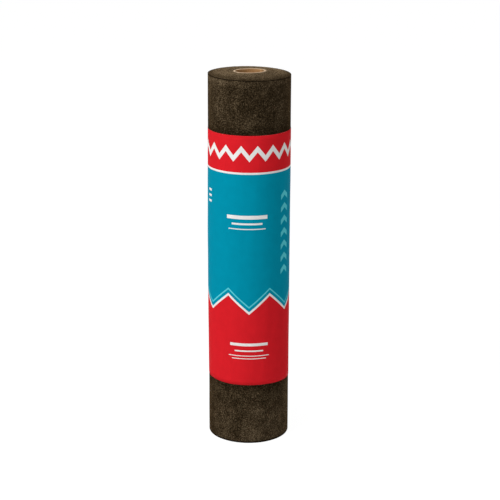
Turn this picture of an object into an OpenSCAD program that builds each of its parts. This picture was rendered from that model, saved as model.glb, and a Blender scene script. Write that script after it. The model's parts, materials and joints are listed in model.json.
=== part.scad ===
// Roll of roofing felt, standing on its end.
// One sheet of bitumen felt is wound on a paper core, and a printed paper wrapper holds the roll shut.
// The origin is on the core's axis at the floor, +Z runs up the roll, and -Y is the front.

/* [Sheet] */
// Width of the felt sheet, which is the height of the standing roll
sheet_width = 1000; // [500:10:1200]
// Thickness of the felt sheet
sheet_thickness = 2; // [1:0.1:4]
// Air left between one turn and the next
turn_slack = 0.12; // [0.04:0.02:0.5]
// Number of turns wound on the core
turns = 31; // [8:1:45]
// Direction of the sheet's tail, in degrees from the right round by the back
tail_angle = 110; // [0:5:355]

/* [Ends] */
// How far the innermost turn has slid up past the outermost
crown = 7; // [0:0.5:15]
// Wander of the sheet's edge from turn to turn
edge_wander = 0.6; // [0:0.1:2]
// Half the width of the groove that shows between two turns
groove_half_width = 0.3; // [0.1:0.05:0.4]
// Depth of the groove that shows between two turns
groove_depth = 0.8; // [0.2:0.1:2]

/* [Core] */
// Inside diameter of the core tube
core_bore = 76.2; // [50:0.1:155]
// Wall of the core tube
core_wall = 5.5; // [3:0.5:14]
// Gap between the core tube and the innermost turn
core_clearance = 0.1; // [0.05:0.05:0.5]
// How far the core tube has slid up past the innermost turn
core_stand_out = 0.5; // [0:0.5:10]
// Chamfer on the rims of the core tube
core_chamfer = 0.5; // [0.2:0.1:1.2]

/* [Wrapper] */
// Bare felt above the wrapper
bare_above = 142; // [20:1:220]
// Bare felt below the wrapper
bare_below = 170; // [20:1:220]
// Thickness of the wrapper's paper
paper_thickness = 0.25; // [0.1:0.05:0.6]
// Gap between the wrapper and the outermost turn
wrap_clearance = 0.1; // [0.05:0.05:0.5]
// Length of the lap, where the wrapper's end is glued down over its start
wrap_lap = 60; // [20:5:80]
// Angle from the sheet's tail to the lap
lap_angle = 25; // [5:5:60]

/* [Hidden] */
$fn = 180;

// Each turn takes up the sheet and its slack
pitch = sheet_thickness + turn_slack;
core_r = core_bore / 2 + core_wall;
felt_bore_r = core_r + core_clearance;
roll_r = felt_bore_r + turns * pitch;

// The winding is drawn as half turns about two centres, this far to either side of the core's axis
half_turn_shift = pitch / 4;
// The second half of a turn lies half a pitch further in than the first
second_half_r = roll_r - pitch / 2;

// The core is cut to the sheet's width, and has slid up with the innermost turns
core_bottom = crown + core_stand_out;
wrap_height = sheet_width - bare_above - bare_below;

// A turn that steps round by this angle each time never falls into a rhythm
wander_step = 137.5;

// The paper comes down this share of the way to where a straight line would only graze the turn below
landing_share = 0.85;
// There it runs on into the felt's side by this share of its straight stretch
landing_overlap = 0.1;

function reversed(list) = [for (i = [len(list) - 1 : -1 : 0]) list[i]];

// How far up turn number k has slid, counted from the outside: a parabola over the end, with a small wander
function slide(k) =
    let (share = 1 - k / turns)
    crown * (1 - share * share) + edge_wander * (1 - cos(k * wander_step)) / 2;

// Bottom of the groove inside turn k, cut below both of its turns. Cutting is down (-1) or up (1)
function groove_floor(k, cutting) =
    cutting < 0
        ? min(slide(k), slide(k + 1)) - groove_depth
        : max(slide(k), slide(k + 1)) + groove_depth;

// Edge of turn k at one end of the roll. The innermost turn runs on past the bore, which trims it
function turn_edge(k, outside_r, end_z, cutting) =
    let (
        outer_r = outside_r - k * pitch,
        inner_r = outer_r - pitch,
        z = end_z + slide(k)
    )
    k == turns - 1
        ? [[outer_r - groove_half_width, z], [felt_bore_r - pitch, z]]
        : [
            [outer_r - groove_half_width, z],
            [inner_r + groove_half_width, z],
            [inner_r, end_z + groove_floor(k, cutting)]
        ];

// All the edges at one end, from the outside in
function end_edges(outside_r, end_z, cutting) =
    concat(
        [[outside_r, end_z + slide(0) + cutting * groove_half_width]],
        [for (k = [0 : turns - 1]) each turn_edge(k, outside_r, end_z, cutting)]
    );

// Section through the wound turns on one side of the core
module turns_section(outside_r) {
    polygon(concat(
        end_edges(outside_r, sheet_width, -1),
        reversed(end_edges(outside_r, 0, 1))
    ));
}

// The wound sheet: half turns about two centres make a spiral, with a step where its tail ends
module felt_roll() {
    color("#3a2e20")
        rotate([0, 0, tail_angle])
            difference() {
                union() {
                    translate([half_turn_shift, 0, 0])
                        rotate_extrude(angle = 180)
                            turns_section(roll_r);
                    translate([-half_turn_shift, 0, 0])
                        rotate_extrude(start = 180, angle = 180)
                            turns_section(second_half_r);
                }
                translate([0, 0, -core_r])
                    cylinder(r = felt_bore_r, h = core_bottom + sheet_width + 2 * core_r);
            }
}

// The paper tube that the sheet is wound on
module core_tube() {
    color("#ad8e6e")
        translate([0, 0, core_bottom])
            rotate_extrude()
                translate([core_bore / 2, 0])
                    polygon([
                        [core_chamfer, 0],
                        [core_wall - core_chamfer, 0],
                        [core_wall, core_chamfer],
                        [core_wall, sheet_width - core_chamfer],
                        [core_wall - core_chamfer, sheet_width],
                        [core_chamfer, sheet_width],
                        [0, sheet_width - core_chamfer],
                        [0, core_chamfer]
                    ]);
}

// Half a disc as tall as the wrapper, on one half turn of the felt
module half_disc(r, from_angle) {
    rotate_extrude(start = from_angle, angle = 180)
        square([r, wrap_height]);
}

// Everything inside a surface that lies a gap outside the felt. Before the tail it runs straight,
// from the tail's corner until it comes down on the turn below
module inside_of(gap) {
    tail_corner = [half_turn_shift + roll_r + gap, 0];
    below_r = second_half_r + gap;
    landing_angle = landing_share * acos(below_r / (tail_corner.x + half_turn_shift));
    landing = [below_r * cos(landing_angle) - half_turn_shift, -below_r * sin(landing_angle)];
    translate([half_turn_shift, 0, 0])
        half_disc(roll_r + gap, 0);
    translate([-half_turn_shift, 0, 0])
        half_disc(below_r, 180);
    linear_extrude(wrap_height)
        polygon([[0, 0], landing + (landing - tail_corner) * landing_overlap, tail_corner]);
}

// The second layer of paper in the lap, rooted in the middle of the first
module lap() {
    root_r = roll_r + wrap_clearance + paper_thickness / 2;
    translate([half_turn_shift, 0, 0])
        rotate_extrude(start = lap_angle, angle = wrap_lap / root_r * 180 / PI)
            translate([root_r, 0])
                square([paper_thickness * 3 / 2, wrap_height]);
}

// The printed paper wrapper, glued to itself in a lap
module label_wrap() {
    color("#0289a5")
        translate([0, 0, bare_below])
            rotate([0, 0, tail_angle]) {
                difference() {
                    inside_of(wrap_clearance + paper_thickness);
                    inside_of(wrap_clearance);
                }
                lap();
            }
}

felt_roll();
core_tube();
label_wrap();
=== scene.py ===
import json
from math import acos, pi, radians

import bpy
import numpy as np
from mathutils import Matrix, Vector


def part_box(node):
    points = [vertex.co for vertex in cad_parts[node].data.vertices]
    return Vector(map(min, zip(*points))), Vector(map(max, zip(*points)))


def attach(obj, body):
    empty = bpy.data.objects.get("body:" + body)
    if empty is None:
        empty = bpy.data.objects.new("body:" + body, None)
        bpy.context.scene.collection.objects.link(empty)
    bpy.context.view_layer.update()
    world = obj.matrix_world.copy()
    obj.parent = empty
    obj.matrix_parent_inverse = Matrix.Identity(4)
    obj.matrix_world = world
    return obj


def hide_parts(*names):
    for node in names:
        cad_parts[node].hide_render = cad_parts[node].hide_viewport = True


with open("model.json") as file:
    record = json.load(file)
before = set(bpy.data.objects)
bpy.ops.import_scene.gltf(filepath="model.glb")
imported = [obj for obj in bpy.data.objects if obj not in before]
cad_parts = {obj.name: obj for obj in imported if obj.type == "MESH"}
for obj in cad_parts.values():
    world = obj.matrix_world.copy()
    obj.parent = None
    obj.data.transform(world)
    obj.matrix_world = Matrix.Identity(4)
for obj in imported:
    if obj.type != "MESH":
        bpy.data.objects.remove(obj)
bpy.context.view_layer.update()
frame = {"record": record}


# Core tube
# The sheet is wound on a spiral-wound paperboard tube with a 3 in. bore, cut to the sheet's width.
# Its cut rims show the board's plies, and the last ply leaves a helical seam down the bore.
# The turns round it hold it tight, and it has worked up a little with them, most of all at the front.

core_low, core_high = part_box("core_tube")
core_r = core_high[0]
core_bottom = core_low[2]
core_top = core_high[2]
mounts = {mount["name"]: mount for mount in frame["record"]["mounts"]}
core_bore_r = mounts["core_bore"]["dims"]["r_mm"] / 1000

# The rim's two corners are rounded, and its cut ripples over the plies and is nicked
core_outer_round = 0.0007
core_bore_round = 0.0011
rim_ply = 0.0011
rim_ripple = 0.00012
rim_nick = 0.0005

# The roll's upper end has worked up by a lift and a lean, whose direction turns from the core to the rim
end_lift = 0.0007
end_lean = 0.0017
core_lean_to = radians(-67)
rim_lean_to = radians(-165)

# Numbers of points in the core's mesh
core_segments = 160
outer_round_points = 5
bore_round_points = 6
rim_points = 13
bore_points = 26


def corner(round_r, points):
    """Quarter of a circle, given as how far each point lies in from the side and down from the end."""
    turn = np.linspace(0, pi / 2, points)
    return round_r * (1 - np.cos(turn)), round_r * (1 - np.sin(turn))


def core_wall_section():
    """Half of the wall's outline, from mid-height outside, over the rim, to mid-height inside. Each point has
    a radius and a height below the rim. The corners are quarter circles, and the points lie further and
    further apart down the bore."""
    half = (core_top - core_bottom) / 2
    outer_in, outer_down = corner(core_outer_round, outer_round_points)
    inner_in, inner_down = corner(core_bore_round, bore_round_points)
    rim = np.linspace(core_r - core_outer_round, core_bore_r + core_bore_round, rim_points)[1:-1]
    bore_depth = np.geomspace(core_bore_round * 3, half, bore_points)[:-1]
    r = np.concatenate([
        [core_r],
        core_r - outer_in,
        rim,
        (core_bore_r + inner_in)[::-1],
        np.full(len(bore_depth), core_bore_r),
    ])
    down = np.concatenate([
        [half],
        outer_down,
        np.zeros(len(rim)),
        inner_down[::-1],
        bore_depth,
    ])
    return r, down


def worked_up(angle, way_out):
    """How far the upper end has worked up: a lift, and a lean as a cosine of the angle, whose direction turns
    from the core's to the rim's with the share of the way out."""
    lean_to = core_lean_to + way_out * (rim_lean_to - core_lean_to)
    return end_lift + end_lean * np.cos(angle - lean_to)


def core_points():
    """The wall's outline turned about the axis. The rim ripples with its plies, as a cosine of the radius,
    and is nicked a little, as a product of two cosines of the angle. Also gives how near each point of the
    outline is to a rim: 1 on it, and less by an exponential of the distance down the wall."""
    r, down = core_wall_section()
    angle = np.linspace(0, 2 * pi, core_segments, endpoint=False)[:, None]
    at_rim = np.exp(-down / core_bore_round)
    nick = rim_nick * at_rim * (1 - np.cos(3 * angle + 0.6) * np.cos(5 * angle)) / 2
    ply_ripple = rim_ripple * at_rim * np.cos(2 * pi * (r - core_bore_r) / rim_ply)
    worn = rim_ripple + nick - ply_ripple
    up = worked_up(angle, 0)
    top_z = core_top - down - worn + up
    bottom_z = core_bottom + down + worn + up
    radius = np.concatenate([r, r[::-1]])
    z = np.concatenate([top_z, bottom_z[:, ::-1]], axis=1)
    points = np.stack([radius * np.cos(angle), radius * np.sin(angle), z], axis=2)
    return points, np.concatenate([at_rim, at_rim[::-1]])


def skin(first, rings, around, closed):
    """Quads over rings of points, where each ring is a closed loop of the same number of points. A quad joins
    two neighbours on one ring to the same two on the next, and a closed skin meets its start."""
    ring = np.arange(rings if closed else rings - 1)[:, None]
    point = np.arange(around)[None, :]
    following = (ring + 1) % rings
    beside = (point + 1) % around
    corners = [
        ring * around + point,
        following * around + point,
        following * around + beside,
        ring * around + beside,
    ]
    return first + np.stack(corners, axis=2).reshape(-1, 4)


def new_piece(name, points, faces):
    """A smooth-shaded mesh object at the origin, made from points in metres and lists of their numbers."""
    mesh = bpy.data.meshes.new(name)
    mesh.from_pydata(points.reshape(-1, 3).tolist(), [], faces)
    mesh.polygons.foreach_set("use_smooth", np.ones(len(mesh.polygons), dtype=bool))
    mesh.update()
    piece = bpy.data.objects.new(name, mesh)
    bpy.context.scene.collection.objects.link(piece)
    return piece


def mark(piece, name, values):
    """Keeps one number for each point of a piece, for its material to read."""
    piece.data.attributes.new(name, "FLOAT", "POINT").data.foreach_set("value", values)


def new_material(name):
    """A material with one Principled shader, and the tree that its pattern is drawn in."""
    material = bpy.data.materials.new(name)
    material.use_nodes = True
    tree = material.node_tree
    return material, tree, tree.nodes["Principled BSDF"]


def feed(tree, socket, value):
    """Joins a socket to another node's output, or gives it a fixed value."""
    if isinstance(value, bpy.types.NodeSocket):
        tree.links.new(value, socket)
    else:
        socket.default_value = value


def calc(tree, operation, *values):
    """One arithmetic step on numbers or sockets."""
    step = tree.nodes.new("ShaderNodeMath")
    step.operation = operation
    for socket, value in zip(step.inputs, values):
        feed(tree, socket, value)
    return step.outputs[0]


def weighted_sum(tree, *layers):
    """The sum of some layers, each given with the weight that it is multiplied by."""
    total = 0.0
    for layer, weight in layers:
        total = calc(tree, "MULTIPLY_ADD", layer, weight, total)
    return total


def rise(tree, value, low, high):
    """Goes smoothly from 0 at the low value to 1 at the high one, or down where low is above high."""
    ramp = tree.nodes.new("ShaderNodeMapRange")
    ramp.interpolation_type = "SMOOTHSTEP"
    feed(tree, ramp.inputs["Value"], value)
    falling = low > high
    ramp.inputs["From Min"].default_value = min(low, high)
    ramp.inputs["From Max"].default_value = max(low, high)
    ramp.inputs["To Min"].default_value = 1.0 if falling else 0.0
    ramp.inputs["To Max"].default_value = 0.0 if falling else 1.0
    return ramp.outputs["Result"]


def blend(tree, share, first, second, most=1.0):
    """Mixes two colours by a share: the first at 0, and at 1 the second, or the most of it that is wanted."""
    mix = tree.nodes.new("ShaderNodeMix")
    mix.data_type = "RGBA"
    feed(tree, mix.inputs[0], calc(tree, "MULTIPLY", share, most) if most < 1 else share)
    feed(tree, mix.inputs[6], first)
    feed(tree, mix.inputs[7], second)
    return mix.outputs[2]


def place(tree):
    """The point on the piece, in metres."""
    return tree.nodes.new("ShaderNodeTexCoord").outputs["Object"]


def parts_of(tree, where):
    """The three parts of a point."""
    parts = tree.nodes.new("ShaderNodeSeparateXYZ")
    tree.links.new(where, parts.inputs[0])
    return parts.outputs["X"], parts.outputs["Y"], parts.outputs["Z"]


def from_axis(tree, x, y):
    """How far a point lies from the roll's axis: the root of the sum of two squares."""
    square = calc(tree, "MULTIPLY_ADD", x, x, calc(tree, "MULTIPLY", y, y))
    return calc(tree, "SQRT", square)


def marked(tree, name):
    """The number that was kept for each point of the piece under this name."""
    attribute = tree.nodes.new("ShaderNodeAttribute")
    attribute.attribute_name = name
    return attribute.outputs["Fac"]


def noise(tree, where, scale, detail, roughness=0.5):
    """Cloudy noise from about 0.3 to 0.7, with so many features to the metre."""
    cloud = tree.nodes.new("ShaderNodeTexNoise")
    feed(tree, cloud.inputs["Vector"], where)
    cloud.inputs["Scale"].default_value = scale
    cloud.inputs["Detail"].default_value = detail
    cloud.inputs["Roughness"].default_value = roughness
    return cloud.outputs["Fac"]


def drawn_out(tree, where, times):
    """The same place with its height divided by a number, so that a pattern on it is so many times taller."""
    mapping = tree.nodes.new("ShaderNodeMapping")
    feed(tree, mapping.inputs["Vector"], where)
    mapping.inputs["Scale"].default_value = (1, 1, 1 / times)
    return mapping.outputs["Vector"]


def bump(tree, height, depth, before=None):
    """Raises the surface by a height from 0 to 1 times a depth in metres, on top of an earlier bump."""
    relief = tree.nodes.new("ShaderNodeBump")
    relief.inputs["Distance"].default_value = depth
    feed(tree, relief.inputs["Height"], height)
    if before is not None:
        feed(tree, relief.inputs["Normal"], before)
    return relief.outputs["Normal"]


def brown_board():
    """Brown paperboard: fibres along the tube, plies as rings on the cut rim, and a helical seam in the bore.
    The seam lies where the height in climbs of the helix, less the share of a turn, is halfway between two
    whole numbers."""
    board_pale = (0.47, 0.265, 0.115, 1)
    board_dark = (0.29, 0.145, 0.052, 1)
    rim_pale = (0.78, 0.60, 0.41, 1)
    seam_colour = (0.20, 0.115, 0.055, 1)
    ply = 0.00085
    seam_climb = 0.105
    fibre_depth = 0.0002
    seam_depth = 0.0003
    material, tree, shader = new_material("brown_board")
    here = place(tree)
    x, y, z = parts_of(tree, here)

    fibre = noise(tree, drawn_out(tree, here, 4), scale=900, detail=4, roughness=0.65)
    patch = noise(tree, here, scale=60, detail=3)
    shade = weighted_sum(tree, (fibre, 0.65), (patch, 0.35))
    colour = blend(tree, rise(tree, shade, 0.34, 0.66), board_dark, board_pale)

    on_rim = rise(tree, marked(tree, "at_rim"), 0.40, 0.65)
    colour = blend(tree, on_rim, colour, rim_pale, most=0.8)
    ply_angle = calc(tree, "MULTIPLY", from_axis(tree, x, y), pi / ply)
    ply_wave = calc(tree, "ABSOLUTE", calc(tree, "SINE", ply_angle))
    ply_line = calc(tree, "MULTIPLY", rise(tree, ply_wave, 0.5, 0.05), on_rim)
    colour = blend(tree, ply_line, colour, board_dark, most=0.4)

    turn = calc(tree, "DIVIDE", calc(tree, "ARCTAN2", y, x), 2 * pi)
    climb = calc(tree, "SUBTRACT", calc(tree, "DIVIDE", z, seam_climb), turn)
    to_seam = calc(tree, "ABSOLUTE", calc(tree, "SUBTRACT", calc(tree, "FRACT", climb), 0.5))
    seam = rise(tree, to_seam, 0.011, 0.004)
    colour = blend(tree, seam, colour, seam_colour, most=0.75)

    raised = calc(tree, "SUBTRACT", 1.0, calc(tree, "MAXIMUM", seam, ply_line))
    relief = bump(tree, raised, seam_depth, before=bump(tree, fibre, fibre_depth))
    tree.links.new(colour, shader.inputs["Base Color"])
    tree.links.new(relief, shader.inputs["Normal"])
    shader.inputs["Roughness"].default_value = 0.86
    shader.inputs["Specular IOR Level"].default_value = 0.2
    return material


core_skin, at_rim = core_points()
core = new_piece("core_tube_board", core_skin, skin(0, *core_skin.shape[:2], closed=True).tolist())
mark(core, "at_rim", np.tile(at_rim, core_segments))
core.data.materials.append(brown_board())
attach(core, "root")
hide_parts("core_tube")


# Felt sheet
# One sheet of bitumen felt, dusted with sand so that its turns don't stick, is wound tight on the core.
# It is a true spiral of turns that lie one on the next. The inner ones have slid up past the outer ones,
# so the top is crowned and the foot is hollow.

felt_thickness = 0.002
turn_slack = 0.00012
felt_pitch = felt_thickness + turn_slack
turns = 31
felt_width = 1.0
felt_crown = 0.007
core_clearance = 0.0001
tail_angle = radians(110)
felt_bore_r = core_r + core_clearance
roll_r = felt_bore_r + turns * felt_pitch
tail_r = roll_r + felt_pitch / 4

# The cut edges are rounded and frayed. The outermost turn stands flat, and the edges inside it wander
felt_edge_round = 0.00045
flat_turns = 0.8
edge_wander = 0.0006
wander_quick = 0.31
wander_slow = 0.047
edge_fray = 0.00025
fray_quick = 41.3
fray_slow = 23.7

# The outermost lap stands off, and its tail curls out, but not where the paper holds it or just past that
loose_bulge = 0.0005
bulge_round = 2
bulge_up = 6
tail_curl = 0.0022
tail_curl_sweep = radians(16)
paper_hold = 0.05
wrap_low, wrap_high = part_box("label_wrap")
wrap_bottom = wrap_low[2]
wrap_top = wrap_high[2]

# Numbers of points in the felt's mesh, whose outermost lap is finer than the turns inside it
outer_lap_turns = 1.12
outer_lap_segments = 250
inner_turn_segments = 96
edge_points = 3
face_rows = 46


def ripple(a, b):
    """Smooth unevenness from 0 to 1: a sum of four sines of two directions. The first has whole numbers of
    waves to a turn, so that it meets itself after a turn."""
    waves = (np.sin(2 * a + 3.7 * b + 0.4) + np.sin(5 * a - 2.9 * b + 1.9)
             + np.sin(3 * a + 8.3 * b + 4.1) + np.sin(8 * a - 6.1 * b + 2.6))
    return 0.5 + waves / 8


def lap_bulge(angle, z):
    """How far the outermost lap stands off the turn below it, as a smooth ripple round the roll and up it."""
    return loose_bulge * ripple(bulge_round * angle, bulge_up * z)


def felt_section(rows):
    """Outline of the sheet's cut section as three lists: depth in from the outer face, share of the way up
    the sheet, and depth in from the cut edge. It runs up the outer face, over, down the inner face and back.
    A face has so many rows of points between its rounded corners."""
    round_in, round_down = corner(felt_edge_round, edge_points)
    face = np.linspace(0, 1, rows + 2)[1:-1]
    middle = felt_thickness / 2
    depth = np.concatenate([
        round_in[::-1],
        np.zeros(rows),
        round_in,
        [middle],
        felt_thickness - round_in[::-1],
        np.full(rows, felt_thickness),
        felt_thickness - round_in,
        [middle],
    ])
    share = np.concatenate([
        np.zeros(edge_points),
        face,
        np.ones(2 * edge_points + 1),
        face[::-1],
        np.zeros(edge_points + 1),
    ])
    inset_one_way = np.concatenate([round_down[::-1], np.zeros(rows), round_down, [0]])
    return depth, share, np.tile(inset_one_way, 2)


def felt_rings(winding, rows, loose):
    """The sheet's section carried along the spiral. The outer face is at the tail's radius less one pitch a
    turn. Each turn has slid up by the crown times one less the square of its share of the way out, with a
    wander. Its upper edge leans as the upper end does, and its lower edge less and less towards the outermost
    turn, which stands flat. Where it is loose, by a share from 0 to 1, the sheet also stands off by a smooth
    bulge, and its tail curls out by the square of the nearness to its end. Also gives each point's distance
    from the nearer cut edge, and the number of turns that it lies in from the tail."""
    depth, share, inset = felt_section(rows)
    winding = winding[:, None]
    turn = winding / (2 * pi)
    angle = tail_angle + winding
    outer_r = tail_r - felt_pitch * turn
    way_out = np.clip((outer_r - felt_bore_r) / (roll_r - felt_bore_r), 0, 1)
    inward = 1 - way_out ** 2
    uneven = np.clip(turn - flat_turns, 0, 1)
    wander = uneven * edge_wander * ripple(wander_quick * winding, wander_slow * winding)
    slid = felt_crown * inward + wander
    up = worked_up(angle, way_out)
    fray = edge_fray * (np.sin(fray_slow * winding) + np.sin(fray_quick * winding + 1.0) + 2) / 4
    low = slid + up * inward + fray * uneven
    high = slid + up + felt_width - fray
    z = low + share * (high - low) + inset * (1 - 2 * share)
    into_paper = np.minimum(z - wrap_bottom, wrap_top - z)
    free = 1 - np.clip(into_paper / paper_hold + 1, 0, 1)
    curl = tail_curl * free * np.clip(1 - winding / tail_curl_sweep, 0, 1) ** 2
    r = outer_r - depth + loose * (lap_bulge(angle, z) + curl)
    points = np.stack([r * np.cos(angle), r * np.sin(angle), z], axis=2)
    return points, np.minimum(z - low, high - z), turn + 0 * z


def felt_faces(outer_rings, outer_around, inner_rings, inner_around):
    """Quads over the fine outer lap and over the plainer turns inside it, one row of faces that joins the
    two, and a face on each end of the sheet. A plain stretch of outline meets all the fine points beside
    it."""
    inner_first = outer_rings * outer_around
    last_outer = inner_first - outer_around
    rows_to_a_face = (outer_around - inner_around) // 2
    plain_point = np.arange(inner_around + 1)
    past_outer_face = plain_point >= edge_points
    past_inner_face = plain_point > 3 * edge_points
    fine_point = plain_point + rows_to_a_face * past_outer_face + rows_to_a_face * past_inner_face
    joining = []
    for point in range(inner_around):
        fine = np.arange(fine_point[point], fine_point[point + 1] + 1) % outer_around
        plain = [inner_first + point, inner_first + (point + 1) % inner_around]
        joining.append(plain + (last_outer + fine[::-1]).tolist())
    tail_face = np.arange(outer_around).tolist()
    end_first = inner_first + (inner_rings - 1) * inner_around
    end_face = (end_first + np.arange(inner_around))[::-1].tolist()
    return (skin(0, outer_rings, outer_around, closed=False).tolist()
            + joining
            + skin(inner_first, inner_rings, inner_around, closed=False).tolist()
            + [tail_face, end_face])


def cut_share(rings, rows):
    """How far each point lies into the sheet's cut edge: 0 on the faces, and 1 in the middle of the edge."""
    depth, share, _ = felt_section(rows)
    on_edge = (share == 0) | (share == 1)
    from_face = np.minimum(depth, felt_thickness - depth) / (felt_thickness / 2)
    return np.tile(np.where(on_edge, from_face, 0), (rings, 1)).ravel()


def sanded_bitumen():
    """Bitumen felt: near-black binder with brown sand pressed in as grains, clots and drifts, dragged a
    little up and down by the rollers. Beside the wrapper the felt is darkened by painted shade, towards the
    floor it is paler by painted bounce light, and beside the upper trim the sand lies thicker. The outermost
    turn is darkened to binder along its cut edges, and its foot carries a painted contact shadow. The cut
    edges are paler, with a tone for each turn, and darker towards the outside."""
    binder = (0.0060, 0.0038, 0.0016, 1)
    sand_dark = (0.031, 0.0203, 0.0098, 1)
    sand_pale = (0.160, 0.117, 0.070, 1)
    sand_fleck = (0.250, 0.193, 0.123, 1)
    edge_binder = (0.036, 0.024, 0.012, 1)
    edge_mat = (0.36, 0.262, 0.155, 1)

    # Where each change sets in, and where it is full
    # painted shade: the felt is darkened within 30 mm of the wrapper's edges
    painted_shade_by_paper = (0.030, 0.0)
    # painted bounce light: the felt is paler towards the floor
    painted_bounce_to_floor = (0.5, 0.05)
    upper_half = (0.4, 0.6)
    dusty_by_trim = (0.022, 0.008)
    dark_trim = (0.0034, 0.0016)
    # painted contact shadow along the outermost turn's foot
    painted_foot_shadow = (0.0065, 0.0030)
    outermost_turn = (roll_r - 0.0022, roll_r - 0.0014)
    darker_outer_turns = (roll_r - 0.024, roll_r - 0.004)

    material, tree, shader = new_material("sanded_bitumen")
    here = place(tree)
    x, y, z = parts_of(tree, here)
    radius = from_axis(tree, x, y)
    to_trim = marked(tree, "to_trim")
    sand = noise(tree, here, scale=1500, detail=1)
    grain = noise(tree, here, scale=430, detail=2, roughness=0.6)
    clot = noise(tree, here, scale=250, detail=2, roughness=0.6)
    drift = noise(tree, here, scale=34, detail=4, roughness=0.6)
    cloud = noise(tree, here, scale=6, detail=2)
    drag = noise(tree, drawn_out(tree, here, 20), scale=95, detail=3)

    # How thick the sand lies, less a painted shade beside the wrapper and plus painted bounce light towards
    # the floor
    above_paper = calc(tree, "SUBTRACT", z, wrap_top)
    below_paper = calc(tree, "SUBTRACT", wrap_bottom, z)
    paper_shade = rise(tree, calc(tree, "MAXIMUM", above_paper, below_paper), *painted_shade_by_paper)
    painted_floor_bounce = rise(tree, z, *painted_bounce_to_floor)
    trim_dust = calc(tree, "MULTIPLY", rise(tree, to_trim, *dusty_by_trim), rise(tree, z, *upper_half))
    cover = weighted_sum(
        tree, (sand, 0.3), (grain, 0.44), (clot, 0.26), (drift, 0.18), (cloud, 0.16), (drag, 0.06),
        (paper_shade, -0.05), (painted_floor_bounce, 0.03), (trim_dust, 0.035))

    # The two faces of the sheet
    colour = blend(tree, rise(tree, cover, 0.60, 0.75), binder, sand_dark)
    colour = blend(tree, rise(tree, cover, 0.71, 0.89), colour, sand_pale)
    fleck = rise(tree, noise(tree, here, scale=400, detail=1), 0.67, 0.74)
    colour = blend(tree, fleck, colour, sand_fleck, most=0.5)
    pit = rise(tree, noise(tree, here, scale=330, detail=1), 0.34, 0.26)
    colour = blend(tree, pit, colour, binder, most=0.7)
    outermost = rise(tree, radius, *outermost_turn)
    trim = calc(tree, "MULTIPLY", rise(tree, to_trim, *dark_trim), outermost)
    colour = blend(tree, trim, colour, binder, most=0.9)
    # painted contact shadow: the outermost turn darkens to binder near its foot
    foot = calc(tree, "MULTIPLY", rise(tree, z, *painted_foot_shadow), outermost)
    colour = blend(tree, foot, colour, binder, most=0.8)

    # The cut edges
    turn = marked(tree, "turn")
    turn_tone = noise(tree, turn, scale=1.5, detail=1)
    turn_group = noise(tree, turn, scale=0.4, detail=1)
    cut_grain = weighted_sum(tree, (turn_tone, 0.35), (turn_group, 0.35), (grain, 0.35), (clot, 0.25))
    cut_colour = blend(tree, rise(tree, cut_grain, 0.54, 0.76), edge_binder, edge_mat)
    cut_colour = blend(tree, rise(tree, radius, *darker_outer_turns), cut_colour, sand_dark, most=0.7)
    colour = blend(tree, rise(tree, marked(tree, "cut_edge"), 0.25, 0.8), colour, cut_colour)

    relief = None
    for layer, depth in ((clot, 0.0009), (grain, 0.0005), (sand, 0.0003)):
        relief = bump(tree, layer, depth, before=relief)
    roughness = calc(tree, "MULTIPLY_ADD", clot, -0.4, 0.85)
    tree.links.new(colour, shader.inputs["Base Color"])
    tree.links.new(relief, shader.inputs["Normal"])
    tree.links.new(roughness, shader.inputs["Roughness"])
    shader.inputs["Specular IOR Level"].default_value = 0.001
    shader.inputs["Specular Tint"].default_value = (1.0, 0.74, 0.46, 1)
    shader.inputs["Sheen Weight"].default_value = 0.09
    shader.inputs["Sheen Roughness"].default_value = 0.40
    shader.inputs["Sheen Tint"].default_value = (0.80, 0.46, 0.20, 1)
    return material


inner_end = 2 * pi * (tail_r - felt_thickness - felt_bore_r) / felt_pitch
outer_end = 2 * pi * outer_lap_turns
outer_winding = np.linspace(0, outer_end, int(outer_lap_turns * outer_lap_segments))
inner_count = int((inner_end - outer_end) / (2 * pi) * inner_turn_segments)
inner_winding = np.linspace(outer_end, inner_end, inner_count + 1)[1:]
outer_lap, outer_to_trim, outer_turn = felt_rings(outer_winding, face_rows, loose=1)
inner_turns, inner_to_trim, inner_turn = felt_rings(inner_winding, 0, loose=0)
felt_points = np.concatenate([outer_lap.reshape(-1, 3), inner_turns.reshape(-1, 3)])
felt = new_piece("felt_roll_sheet", felt_points, felt_faces(*outer_lap.shape[:2], *inner_turns.shape[:2]))

# The outermost lap's cut edge shows less of its pale middle, so it is darker
outer_cut_shows = 0.35
outer_cut = outer_cut_shows * cut_share(len(outer_winding), face_rows)
inner_cut = cut_share(len(inner_winding), 0)
mark(felt, "cut_edge", np.concatenate([outer_cut, inner_cut]))
mark(felt, "to_trim", np.concatenate([outer_to_trim.ravel(), inner_to_trim.ravel()]))
mark(felt, "turn", np.concatenate([outer_turn.ravel(), inner_turn.ravel()]))
felt.data.materials.append(sanded_bitumen())
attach(felt, "root")
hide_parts("felt_roll")


# Printed wrapper
# A band of coated paper holds the roll shut: wrapped once round, lapped at the back and glued to itself.
# It rides over the step of the felt's tail, buckles softly, and shows bare white paper at its cut edges.

paper_thickness = 0.00025
paper_gap = 0.0001
wrap_lap = 0.060
lap_angle = radians(25)
wrap_height = wrap_top - wrap_bottom
front_angle = radians(-90)
girth = 2 * pi * roll_r

# The paper buckles, is slack on the left and hangs lower on the right. Away from the lap it loosens, and just
# before the lap it climbs on to its start
paper_buckle = 0.0006
buckles_round = 3
buckles_up = 2.6
paper_slack = 0.0030
paper_askew = 0.0055
loosen_sweep = 0.6
climb_sweep = 0.05

# Numbers of points in the paper's mesh
paper_rings = 330
paper_rows = 62

# Inks, and the softness of a printed edge
paper_white = (0.80, 0.79, 0.77, 1)
teal = (0.0005, 0.256, 0.375, 1)
teal_pale = (0.093, 0.558, 0.630, 1)
red = (0.650, 0.0140, 0.0210, 1)
ink_edge = 0.0004


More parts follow.
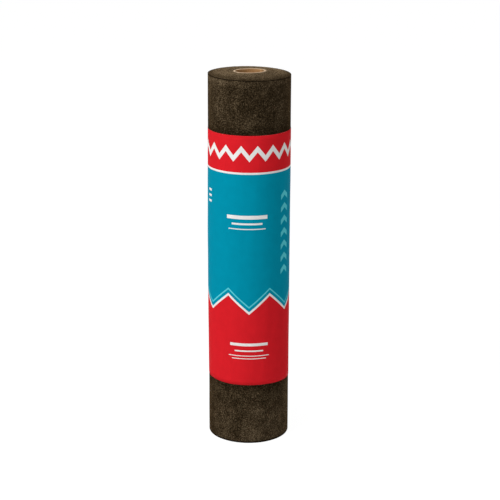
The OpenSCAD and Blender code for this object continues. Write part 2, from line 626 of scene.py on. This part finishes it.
def paper_run(angle):
    """Radius of the felt under the paper: the spiral, and before the tail a straight line that leaves the
    tail and comes down on the turn below, where it touches the circle."""
    around = np.mod(angle - tail_angle, 2 * pi)
    on_felt = tail_r - felt_pitch * around / (2 * pi)
    landing = acos((tail_r - felt_pitch) / tail_r)
    to_tail = 2 * pi - around
    straight = tail_r * np.cos(landing) / np.cos(np.minimum(to_tail, landing) - landing)
    return np.where(to_tail < landing, np.maximum(on_felt, straight), on_felt)


def paper_points():
    """The band's thin section carried round the roll: outer face up, inner face down. The end of the band
    climbs on to its start by one thickness and a gap, soft buckles stand off as the square of a smooth
    ripple, and the paper is slack on the left, by the square of a cosine round the roll times a sine up it.
    Its foot was cut askew, and hangs lower on the right by the cube of that cosine. Also gives each point's
    place on the flat sheet, across from the middle of its front and up from its foot."""
    start = tail_angle + lap_angle
    lap_sweep = wrap_lap / roll_r
    turned = np.linspace(0, 2 * pi + lap_sweep, paper_rings)[:, None]
    angle = start + turned
    up = np.linspace(0, 1, paper_rows)
    share = np.concatenate([up, up[::-1]])
    layer = np.concatenate([np.full(paper_rows, paper_thickness), np.zeros(paper_rows)])
    askew = paper_askew * (1 - share) * np.clip(np.cos(angle), 0, 1) ** 3
    z = wrap_bottom + wrap_height * share - askew
    on_start = np.clip((turned - 2 * pi + climb_sweep) / climb_sweep, 0, 1)
    climb = on_start * on_start * (3 - 2 * on_start) * (paper_thickness + paper_gap)
    loose = np.clip(np.minimum(turned - lap_sweep, 2 * pi - turned) / loosen_sweep, 0, 1)
    buckle = paper_buckle * ripple(buckles_round * angle, buckles_up * z) ** 2
    slack = paper_slack * np.clip(-np.cos(angle), 0, 1) ** 2 * np.sin(pi * share)
    stand_off = paper_gap + lap_bulge(angle, z) + loose * (buckle + slack) + climb
    r = paper_run(angle) + stand_off + layer
    points = np.stack([r * np.cos(angle), r * np.sin(angle), z], axis=2)
    across = roll_r * (turned - np.mod(front_angle - start, 2 * pi))
    print_place = np.stack([across + 0 * z, wrap_height * share + 0 * z], axis=2)
    return points, print_place


def band(tree, value, middle, width, soft=ink_edge):
    """1 where a value lies within half a width of the middle, and 0 outside, with a soft edge."""
    away = calc(tree, "ABSOLUTE", calc(tree, "SUBTRACT", value, middle))
    return rise(tree, away, (width + soft) / 2, (width - soft) / 2)


def zigzag(tree, along, period):
    """A row of gables: 0 at the foot of each slope and 1 at its peak, once every period."""
    part = calc(tree, "FRACT", calc(tree, "DIVIDE", along, period))
    return calc(tree, "SUBTRACT", 1.0, calc(tree, "ABSOLUTE", calc(tree, "MULTIPLY_ADD", part, 2.0, -1.0)))


def red_foot(tree, across, up, colour):
    """Prints the foot red, up to a border of six wide gables. A white line runs along the border, and a
    thinner pale one above it."""
    gable_period = girth / 6
    gable_foot = 0.205
    gable_rise = 0.050
    white_line = 0.0072
    pale_line = 0.0048
    pale_line_above = 0.016
    border = calc(tree, "MULTIPLY_ADD", zigzag(tree, across, gable_period), gable_rise, gable_foot)
    over_border = calc(tree, "SUBTRACT", up, border)
    colour = blend(tree, rise(tree, over_border, ink_edge / 2, -ink_edge / 2), colour, red)
    colour = blend(tree, band(tree, over_border, 0.0, white_line), colour, paper_white)
    return blend(tree, band(tree, over_border, pale_line_above, pale_line), colour, teal_pale)


def gabled_hoop(tree, across, up, colour):
    """Prints a red hoop at the top, with a white zigzag of sixteen gables and a white line along its foot."""
    hoop_foot = 0.590
    foot_line = 0.0052
    foot_line_below = 0.0022
    gable_period = girth / 16
    gable_foot = hoop_foot + 0.037
    gable_rise = 0.026
    gable_line = 0.017
    hoop = rise(tree, up, hoop_foot - ink_edge / 2, hoop_foot + ink_edge / 2)
    colour = blend(tree, hoop, colour, red)
    gables = calc(tree, "MULTIPLY_ADD", zigzag(tree, across, gable_period), gable_rise, gable_foot)
    over_gables = calc(tree, "SUBTRACT", up, gables)
    colour = blend(tree, band(tree, over_gables, 0.0, gable_line), colour, paper_white)
    return blend(tree, band(tree, up, hoop_foot - foot_line_below, foot_line), colour, paper_white)


def ruled_lines(tree, across, up, colour, middle, lines):
    """Prints white lines about one middle. Each has a height on the sheet, a width and a weight."""
    for height, width, weight in lines:
        line = calc(tree, "MULTIPLY", band(tree, across, middle, width), band(tree, up, height, weight))
        colour = blend(tree, line, colour, paper_white)
    return colour


def chevron_column(tree, across, up, colour):
    """Prints a column of pale chevrons that point up. The height, with the slope times the distance from the
    column's middle added, is counted in pitches. Its whole number says which chevron a point is on, and the
    rest whether it is on the stripe or between two."""
    middle = 0.110
    column_width = 0.030
    slope = 0.8
    pitch = 0.034
    middle_chevron = 12
    chevrons = 7
    stripe_share = 0.4
    stripe_edge = 0.02
    from_middle = calc(tree, "ABSOLUTE", calc(tree, "SUBTRACT", across, middle))
    pitches = calc(tree, "DIVIDE", calc(tree, "MULTIPLY_ADD", from_middle, slope, up), pitch)
    in_column = band(tree, from_middle, 0.0, column_width)
    in_row = band(tree, calc(tree, "FLOOR", pitches), middle_chevron, chevrons)
    on_stripe = band(tree, calc(tree, "FRACT", pitches), 0.5, stripe_share, stripe_edge)
    printed = calc(tree, "MULTIPLY", calc(tree, "MULTIPLY", in_column, in_row), on_stripe)
    return blend(tree, printed, colour, teal_pale)


def printed_paper():
    """Coated paper printed in teal and red, with ruled lines on both, three short dashes at the left and a
    column of chevrons at the right. The ink is a little uneven, and the back and the cut edges are bare."""
    upper_lines = ((0.470, 0.110, 0.010), (0.452, 0.082, 0.005), (0.438, 0.100, 0.0026))
    left_dashes = [(height, 0.016, 0.006) for height in (0.530, 0.515, 0.500)]
    lower_lines = ((0.116, 0.104, 0.008), (0.098, 0.078, 0.004),
                   (0.084, 0.112, 0.0022), (0.076, 0.094, 0.0022))
    ink_least = 0.84
    ink_uneven = 0.16
    fibre_depth = 0.00004
    material, tree, shader = new_material("printed_paper")
    sheet = tree.nodes.new("ShaderNodeUVMap")
    sheet.uv_map = "print"
    across, up, _ = parts_of(tree, sheet.outputs["UV"])
    colour = red_foot(tree, across, up, teal)
    colour = gabled_hoop(tree, across, up, colour)
    colour = ruled_lines(tree, across, up, colour, -0.006, upper_lines)
    colour = ruled_lines(tree, across, up, colour, -0.128, left_dashes)
    colour = ruled_lines(tree, across, up, colour, 0.0, lower_lines)
    colour = chevron_column(tree, across, up, colour)

    here = place(tree)
    fibre = noise(tree, here, scale=1500, detail=3, roughness=0.6)
    mottle = noise(tree, here, scale=40, detail=3, roughness=0.55)
    ink = calc(tree, "ADD", weighted_sum(tree, (fibre, ink_uneven), (mottle, ink_uneven)), ink_least)
    inked = tree.nodes.new("ShaderNodeVectorMath")
    inked.operation = "SCALE"
    tree.links.new(colour, inked.inputs[0])
    tree.links.new(ink, inked.inputs["Scale"])
    colour = blend(tree, marked(tree, "printed"), paper_white, inked.outputs[0])
    tree.links.new(colour, shader.inputs["Base Color"])
    tree.links.new(bump(tree, fibre, fibre_depth), shader.inputs["Normal"])
    tree.links.new(calc(tree, "MULTIPLY_ADD", mottle, 0.2, 0.38), shader.inputs["Roughness"])
    shader.inputs["Specular IOR Level"].default_value = 0.004
    return material


paper_skin, print_place = paper_points()
paper_around = paper_skin.shape[1]
first_end = np.arange(paper_around).tolist()
last_end = ((paper_rings - 1) * paper_around + np.arange(paper_around))[::-1].tolist()
paper_faces = skin(0, paper_rings, paper_around, closed=False).tolist() + [first_end, last_end]
wrapper = new_piece("label_wrap_paper", paper_skin, paper_faces)
corner_points = np.empty(len(wrapper.data.loops), dtype=np.int32)
wrapper.data.loops.foreach_get("vertex_index", corner_points)
print_map = wrapper.data.uv_layers.new(name="print")
print_map.data.foreach_set("uv", print_place.reshape(-1, 2)[corner_points].ravel())
outer_face = np.concatenate([np.ones(paper_rows), np.zeros(paper_rows)])
mark(wrapper, "printed", np.tile(outer_face, paper_rings))
wrapper.data.materials.append(printed_paper())
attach(wrapper, "root")
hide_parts("label_wrap")


# Studio
# The roll stands on a white floor in front of a white room, lit by a large soft box on the left, a weak one
# behind on the right and a soft overhead light, as a catalogue picture is.

floor_half = 20.0
floor_grey = 0.85
floor_white = 1.12
shadow_share = 0.16
room_light = 0.43


def seen_directly(tree):
    """1 for rays from the camera, and for those mirrored or let through by something, and 0 for the light."""
    path = tree.nodes.new("ShaderNodeLightPath")
    seen = calc(tree, "MAXIMUM", path.outputs["Is Camera Ray"], path.outputs["Is Glossy Ray"])
    return calc(tree, "MAXIMUM", seen, path.outputs["Is Transmission Ray"])


def white_floor():
    """A matt floor that looks white, and keeps a faint share of the shadow that falls on it."""
    material = bpy.data.materials.new("white_floor")
    material.use_nodes = True
    tree = material.node_tree
    tree.nodes.clear()
    matt = tree.nodes.new("ShaderNodeBsdfDiffuse")
    matt.inputs["Color"].default_value = (floor_grey, floor_grey, floor_grey, 1)
    white = tree.nodes.new("ShaderNodeEmission")
    white.inputs["Strength"].default_value = floor_white
    mix = tree.nodes.new("ShaderNodeMixShader")
    tree.links.new(calc(tree, "MULTIPLY", seen_directly(tree), 1 - shadow_share), mix.inputs[0])
    tree.links.new(matt.outputs[0], mix.inputs[1])
    tree.links.new(white.outputs[0], mix.inputs[2])
    out = tree.nodes.new("ShaderNodeOutputMaterial")
    tree.links.new(mix.outputs[0], out.inputs["Surface"])
    return material


floor_corners = np.array([(-1, -1, 0), (1, -1, 0), (1, 1, 0), (-1, 1, 0)]) * floor_half
floor = new_piece("floor", floor_corners, [[0, 1, 2, 3]])
floor.data.materials.append(white_floor())

world = bpy.data.worlds.new("white_room")
world.use_nodes = True
bpy.context.scene.world = world
room = world.node_tree
room_white = room.nodes["Background"]
room_white.inputs["Color"].default_value = (1, 1, 1, 1)
brightness = calc(room, "MULTIPLY_ADD", seen_directly(room), 1 - room_light, room_light)
room.links.new(brightness, room_white.inputs["Strength"])


def soft_box(name, azimuth, distance, height, width, tall, power):
    """A rectangular lamp, so many degrees round to the right from the front, that faces the roll's middle."""
    lamp = bpy.data.lights.new(name, "AREA")
    lamp.shape = "RECTANGLE"
    lamp.size = width
    lamp.size_y = tall
    lamp.energy = power
    holder = bpy.data.objects.new(name, lamp)
    turn = radians(azimuth)
    spot = np.array([distance * np.sin(turn), -distance * np.cos(turn), height])
    to_roll = np.array([0, 0, felt_width / 2]) - spot
    flat = np.hypot(to_roll[0], to_roll[1])
    holder.location = spot
    holder.rotation_euler = (np.arctan2(flat, -to_roll[2]), 0, np.arctan2(-to_roll[0], to_roll[1]))
    bpy.context.scene.collection.objects.link(holder)


soft_box("left_soft_box", azimuth=-50, distance=4.2, height=2.6, width=2.4, tall=2.0, power=115)
soft_box("right_soft_box", azimuth=110, distance=2.4, height=0.6, width=0.7, tall=1.6, power=4)
soft_box("overhead_soft_box", azimuth=-20, distance=0.7, height=3.0, width=1.6, tall=1.6, power=16)

# The camera looks down a little on the roll. Its lens is given as a share of the picture's width
camera_distance = 3.916
camera_height = 1.715
camera_aside = -0.0011
camera_tilt = radians(16.99)
camera_roll = radians(-0.156)
lens_share = 3.030
camera = bpy.data.cameras.new("camera")
camera.sensor_width = 36
camera.lens = camera.sensor_width * lens_share
viewer = bpy.data.objects.new("camera", camera)
viewer.location = (camera_aside, -camera_distance, camera_height)
viewer.rotation_euler = (pi / 2 - camera_tilt, camera_roll, 0)
bpy.context.scene.collection.objects.link(viewer)
bpy.context.scene.camera = viewer
bpy.context.scene.view_settings.view_transform = "Standard"
